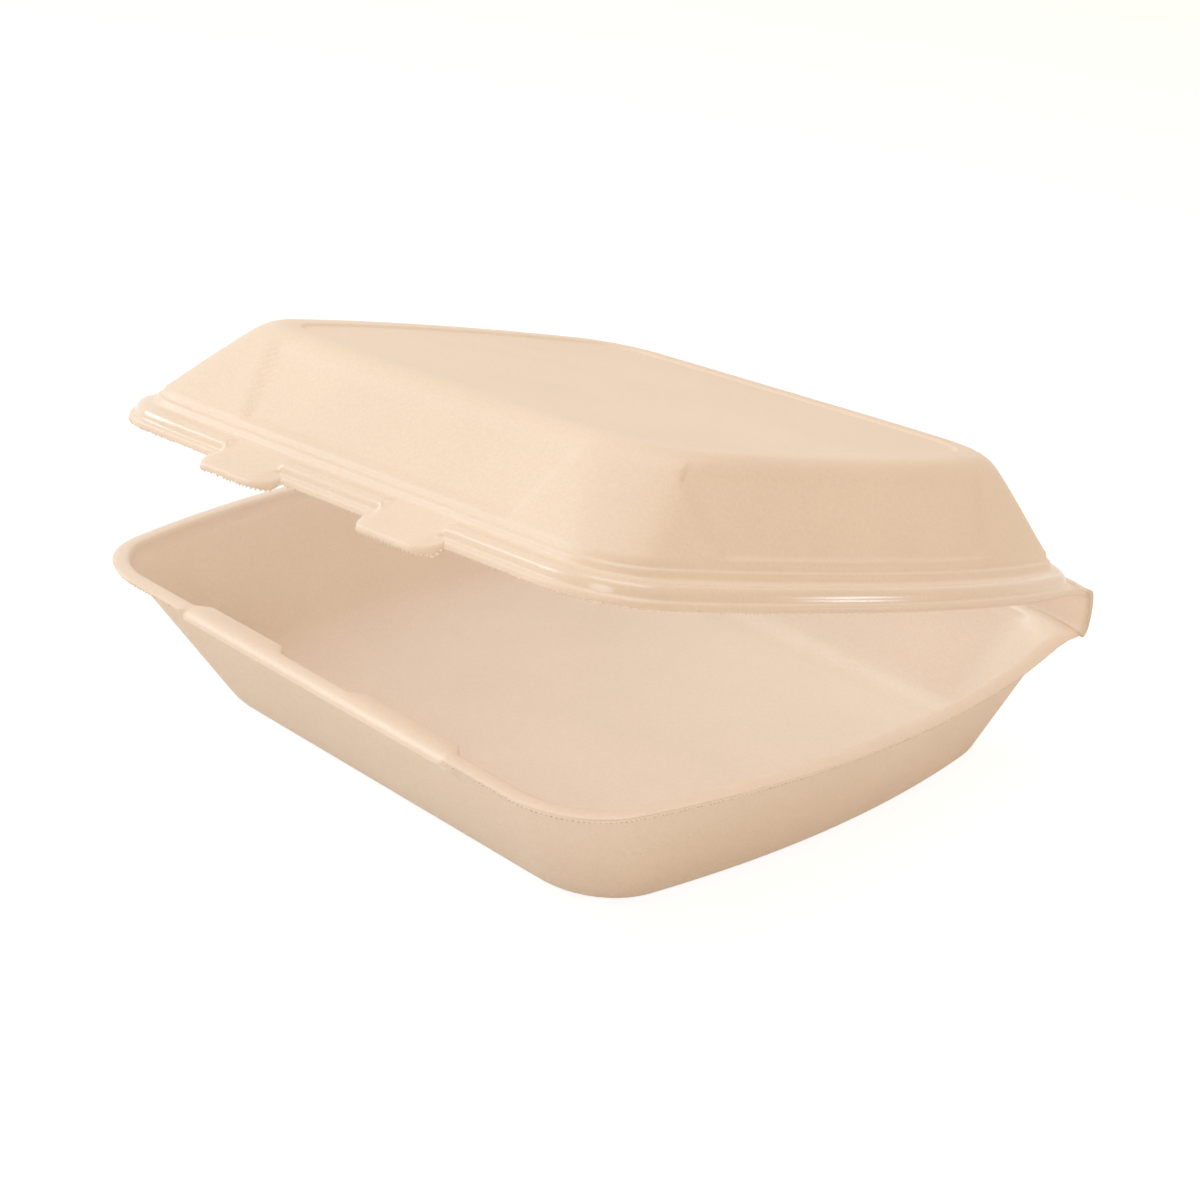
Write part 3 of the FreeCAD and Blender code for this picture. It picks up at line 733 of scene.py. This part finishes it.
def teeth_along(name, ring, kept, depth):
    """A plain mesh of teeth pointing down along the kept stations of a ring in millimetres."""
    following = np.roll(np.arange(COUNT), -1)
    edges = [(int(i), int(following[i])) for i in np.flatnonzero(kept & kept[following])]
    mesh = bpy.data.meshes.new(name + "_line")
    mesh.from_pydata((ring * MM).tolist(), edges, [])
    carrier = bpy.data.objects.new(name + "_line", mesh)
    bpy.context.scene.collection.objects.link(carrier)
    modifier = carrier.modifiers.new("teeth", "NODES")
    modifier.node_group = TEETH
    sizes = {"Pitch": PITCH * MM, "Depth": depth * MM, "Width": 0.62 * MM}
    for key, identifier in TEETH_INPUTS.items():
        modifier[identifier] = sizes[key]
    material_socket = next(s for s in TEETH.interface.items_tree if s.name == "Material")
    modifier[material_socket.identifier] = tooth_foam
    graph = bpy.context.evaluated_depsgraph_get()
    made = bpy.data.meshes.new_from_object(carrier.evaluated_get(graph))
    bpy.data.objects.remove(carrier)
    obj = bpy.data.objects.new(name, made)
    obj.data.name = name
    bpy.context.scene.collection.objects.link(obj)
    print(name, "faces", len(made.polygons))
    return obj


# %% [markdown]
# The teeth of the lid are cut while it is drawn shut and flat, so that they point straight down, and
# are then bent and stood open with it. The rear edges run on into the fold and have none, and
# neither has the tray's rolled front, whose cut edge is out of sight.

# %% Teeth on the lid and on the tray
edge_in = np.where(on_tab > 0, -reach + 0.5, 0.4)
edge_up = np.where(on_tab > 0, -TAB_DROOP + 0.2, 0.3)
cut_free = rim_normals[:, 1] <= 0.3
lid_teeth = teeth_along("lid_teeth", lid_between(0.0, edge_in - FLANGE, SEAT + edge_up), cut_free, 0.7)
teeth_points = np.array([v.co for v in lid_teeth.data.vertices]) / MM
teeth_points = (stood_open(flexed(teeth_points)) * MM).astype(np.float32)
lid_teeth.data.vertices.foreach_set("co", teeth_points.ravel())
tray_edge = between(1.0, -1.7, 44.95) + SQUARE
tray_teeth = teeth_along("tray_teeth", tray_edge, (rolled < 0.01) & cut_free, 0.45)

# %% [markdown]
# The shells, the teeth and the band are tied to the bodies that carry them, and the shells and the
# band stand for the plain solids, which are hidden. The head of the strip is tied to no body.

# %% Tie the pieces to the frame
for piece, body in ((tray_shell, "base"), (tray_teeth, "base"), (lid_shell, "lid"), (lid_teeth, "lid")):
    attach(piece, body)
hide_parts("base_tray")
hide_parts("lid")
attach(strip_band, "hinge")
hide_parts("hinge_strip")
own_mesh(strip_band)
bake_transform(strip_head)

# %% [markdown]
# The container was photographed alone on white. A pale floor takes its shadow, and both the floor
# and the world are shown to the camera, to reflections and to clear things as plain white, while
# they light the foam only softly.

# %% The world
def seen_only(tree):
    """One where a ray comes from the camera, a reflection or through something clear."""
    path = tree.nodes.new("ShaderNodeLightPath")
    total = None
    for name in ("Is Camera Ray", "Is Glossy Ray", "Is Transmission Ray"):
        if total is None:
            total = path.outputs[name]
            continue
        both = tree.nodes.new("ShaderNodeMath")
        both.operation = "MAXIMUM"
        tree.links.new(total, both.inputs[0])
        tree.links.new(path.outputs[name], both.inputs[1])
        total = both.outputs[0]
    return total


WHITE = (1.0, 1.0, 1.0, 1.0)
WARM = (1.0, 0.6, 0.21, 1.0)                         # light that has come back from foam
world = bpy.data.worlds.new("studio")
bpy.context.scene.world = world
world.use_nodes = True
tree = world.node_tree
lighting = tree.nodes["Background"]
lighting.inputs["Color"].default_value = WARM
lighting.inputs["Strength"].default_value = 0.52
backdrop = tree.nodes.new("ShaderNodeBackground")
backdrop.inputs["Color"].default_value = WHITE
backdrop.inputs["Strength"].default_value = 1.0
choose = tree.nodes.new("ShaderNodeMixShader")
tree.links.new(seen_only(tree), choose.inputs["Fac"])
tree.links.new(lighting.outputs["Background"], choose.inputs[1])
tree.links.new(backdrop.outputs["Background"], choose.inputs[2])
tree.links.new(choose.outputs["Shader"], tree.nodes["World Output"].inputs["Surface"])

# %% The floor and its paint
FLOOR_HALF, FLOOR_DOWN = 2.5, -0.0004
corners = ((-1, -1), (1, -1), (1, 1), (-1, 1))
floor_mesh = bpy.data.meshes.new("floor")
floor_mesh.from_pydata([(x * FLOOR_HALF, y * FLOOR_HALF, FLOOR_DOWN) for x, y in corners], [], [(0, 1, 2, 3)])
floor = bpy.data.objects.new("floor", floor_mesh)
bpy.context.scene.collection.objects.link(floor)
paint = bpy.data.materials.new("floor_paint")
paint.use_nodes = True
tree = paint.node_tree
shader = tree.nodes["Principled BSDF"]
shader.inputs["Roughness"].default_value = 0.9
shader.inputs["Specular IOR Level"].default_value = 0.1
shader.inputs["Emission Color"].default_value = WHITE
shine = tree.nodes.new("ShaderNodeMath")
shine.operation = "MULTIPLY"
shine.inputs[1].default_value = 0.86
seen = seen_only(tree)
tree.links.new(seen, shine.inputs[0])
paler = tree.nodes.new("ShaderNodeMapRange")                 # paint that gives back light, and its look
GIVES_BACK, LOOKS = 0.94, 0.3
paler.inputs["To Min"].default_value, paler.inputs["To Max"].default_value = GIVES_BACK, LOOKS
tree.links.new(seen, paler.inputs["Value"])
tree.links.new(paler.outputs["Result"], shader.inputs["Base Color"])
tree.links.new(shine.outputs[0], shader.inputs["Emission Strength"])
floor_mesh.materials.append(paint)
print("floor", 2 * FLOOR_HALF, "m wide")

# %% [markdown]
# Five wide lamps of one cool daylight colour light the foam: from the left and from above, and more
# softly from the camera's side and from behind on the right. The world's light is warm, as light is
# that has come back from foam or passed through it. Foam also lets light through to the inside,
# which a solid shell would keep dark. Scattering inside the shader made that inside too dark and
# too orange, so the lid simply casts no shadow.

# %% Lamps
DAYLIGHT = (0.69, 0.855, 1.0)
AIM = Vector((0.0, 0.0, 0.05))


def area_lamp(name, place, wide, watts):
    data = bpy.data.lights.new(name, "AREA")
    data.shape, data.size = "DISK", wide
    data.energy, data.color = watts, DAYLIGHT
    lamp = bpy.data.objects.new(name, data)
    bpy.context.scene.collection.objects.link(lamp)
    lamp.location = place
    lamp.rotation_euler = (AIM - Vector(place)).to_track_quat("-Z", "Y").to_euler()


area_lamp("key", (-0.75, -0.95, 1.0), 0.7, 6.4)
area_lamp("overhead", (0.1, 0.25, 1.3), 0.9, 6.0)
area_lamp("left", (-1.1, -0.5, 0.45), 0.5, 3.9)
area_lamp("front", (0.55, -0.75, 0.42), 0.4, 1.8)
area_lamp("rear_right", (1.0, 0.9, 0.1), 0.3, 2.0)
for piece in (lid_shell, lid_teeth):
    piece.visible_shadow = False

# %% [markdown]
# The camera stands where the photograph was taken from. Its place and turn were worked out from
# the two rims, whose sizes are known, and it is rolled a little, as the photograph is.

# %% Camera
right = Vector((0.7197, 0.6844, 0.1169)).normalized()
back = Vector((0.6005, -0.6981, 0.39)).normalized()
up = back.cross(right).normalized()
right = up.cross(back).normalized()
camera_data = bpy.data.cameras.new("camera")
camera_data.lens, camera_data.sensor_width = 72.0, 36.0
camera_data.clip_start, camera_data.clip_end = 0.05, 20.0
PLACE = (0.45151, -0.52281, 0.33672)
turn = Matrix((right, up, back)).transposed().to_4x4()
camera = bpy.data.objects.new("camera", camera_data)
bpy.context.scene.collection.objects.link(camera)
camera.matrix_world = Matrix.Translation(PLACE) @ turn
bpy.context.scene.camera = camera
bpy.context.scene.view_settings.view_transform = "Standard"
print("camera at", PLACE)
